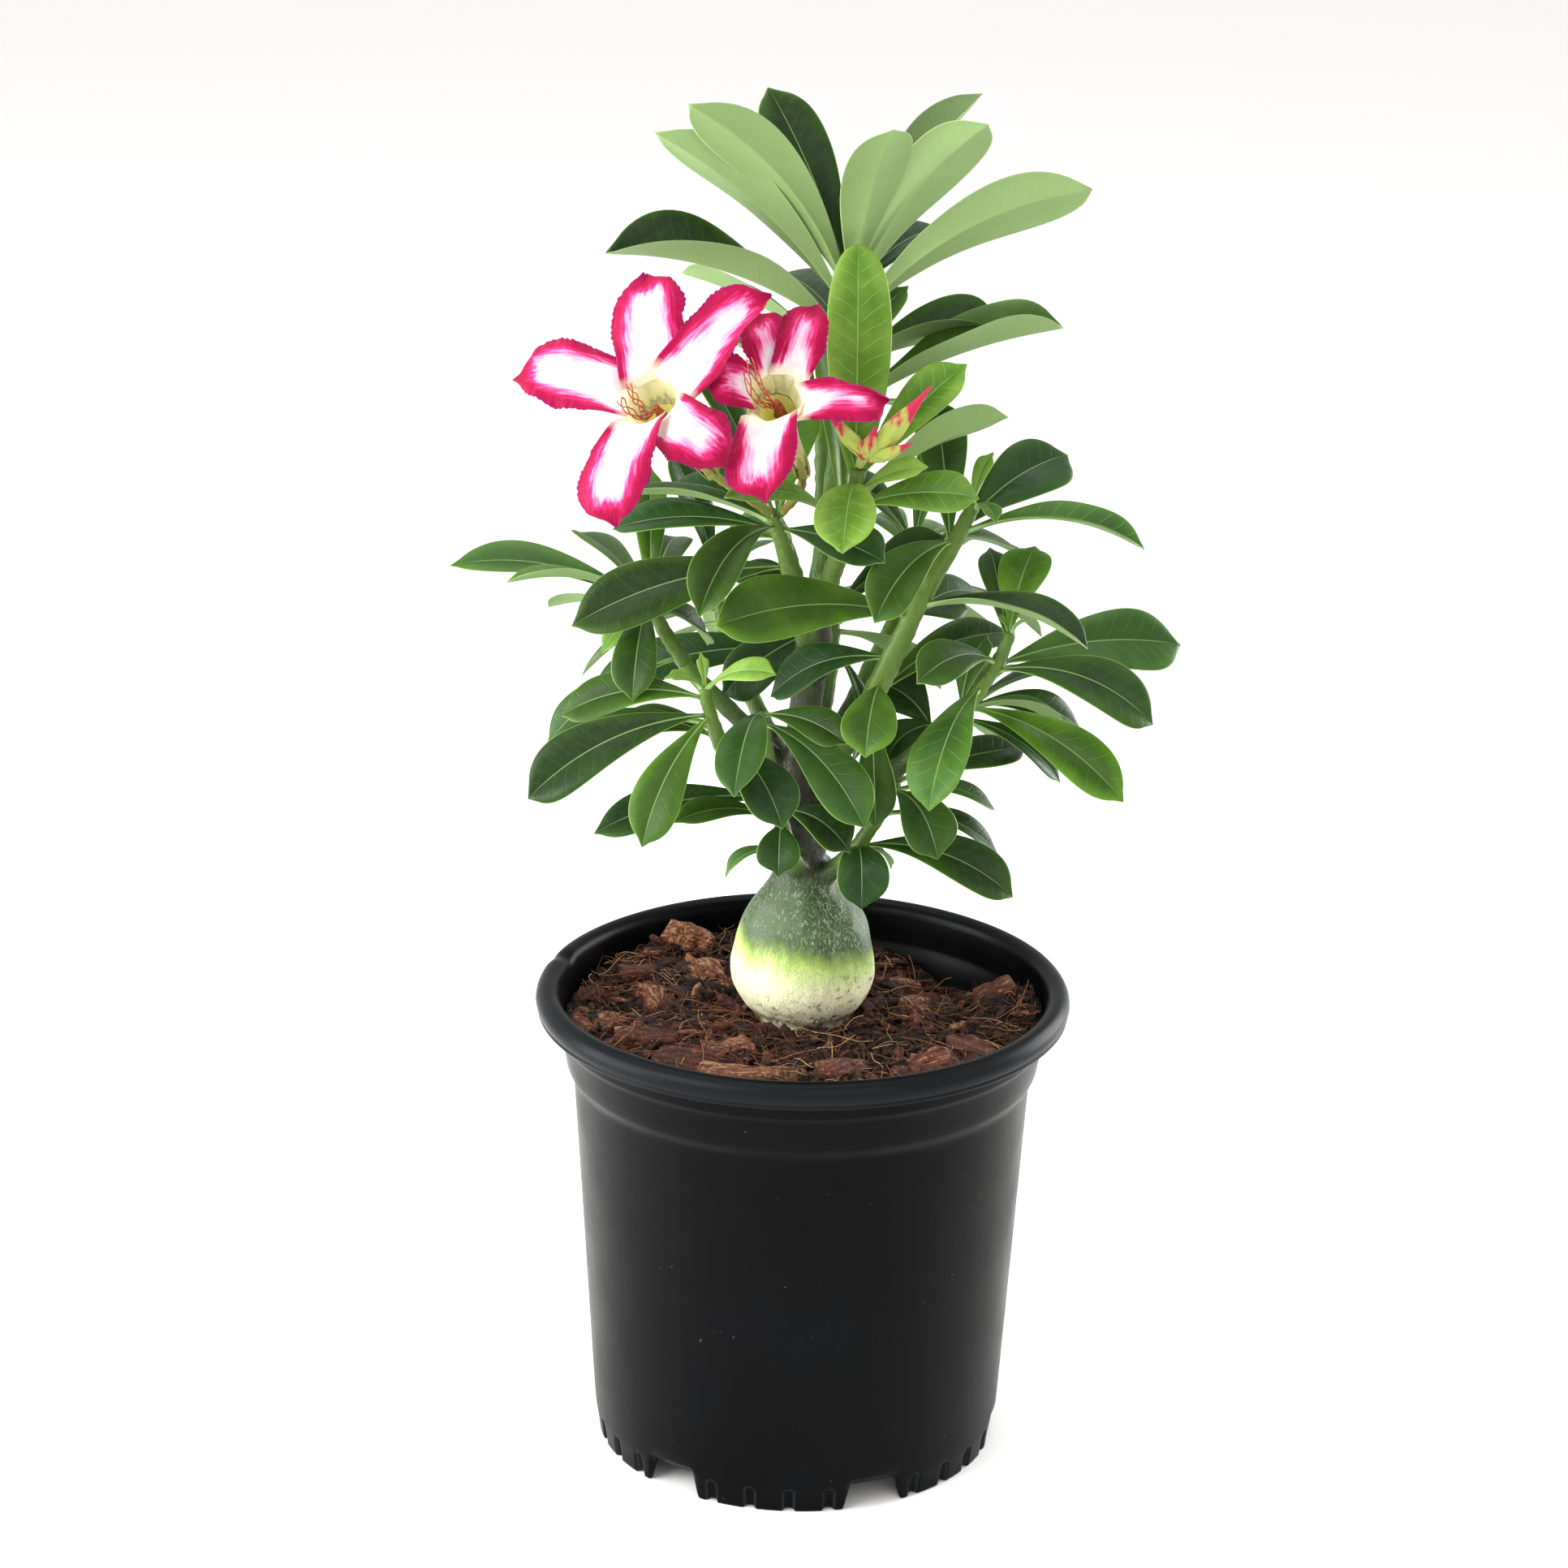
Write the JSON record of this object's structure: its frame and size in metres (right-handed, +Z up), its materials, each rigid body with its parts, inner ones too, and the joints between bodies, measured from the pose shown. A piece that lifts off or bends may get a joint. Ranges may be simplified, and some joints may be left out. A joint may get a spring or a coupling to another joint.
{
  "type": "potted desert rose adenium",
  "caption": "Flowering desert rose with a swollen caudex, leathery leaves and pink-edged trumpet flowers, growing in bark mix in a round black nursery pot with a rolled rim.",
  "frame": {"origin": "on the pot's axis, on the surface the pot stands on", "axes": "+Z up the plant, -Y towards the side the picture shows, +X to that side's right"},
  "size_m": [0.2206, 0.165, 0.4257],
  "materials": {
    "pot_plastic": "moulded black polyethylene, satin",
    "bark_mix": "loose bark chips and coir, matt",
    "caudex_bark": "smooth living bark, fine vertical wrinkles",
    "leaf_green": "waxy leaf, glossy above, matt and pale below",
    "young_leaf_green": "young waxy leaf, yellow-green",
    "petal_pink": "soft petal, white centre, crimson margin",
    "anther_brown": "hairy anther tails, matt",
    "stalk_green": "soft green stalk, satin",
    "bud_crimson": "closed bud, crimson over yellow-green"
  },
  "bodies": {
    "root": {"nursery_pot": "pot_plastic", "potting_mix": "bark_mix", "caudex_and_trunk": "caudex_bark", "crown_shoot": "leaf_green", "flowering_shoot": "young_leaf_green", "left_centre_shoot": "leaf_green", "left_shoot": "leaf_green", "lower_left_shoot": "leaf_green", "right_upper_shoot": "leaf_green", "right_lower_shoot": "leaf_green", "low_right_shoot": "leaf_green", "low_front_shoot": "leaf_green", "low_middle_shoot": "leaf_green", "middle_shoot": "leaf_green", "back_left_shoot": "leaf_green", "back_right_shoot": "leaf_green", "back_upper_shoot": "leaf_green", "flower_1_corolla": "petal_pink", "flower_1_anthers": "anther_brown", "flower_1_stalk": "stalk_green", "flower_2_corolla": "petal_pink", "flower_2_anthers": "anther_brown", "flower_2_stalk": "stalk_green", "flower_buds": "bud_crimson"}
  },
  "joints": []
}
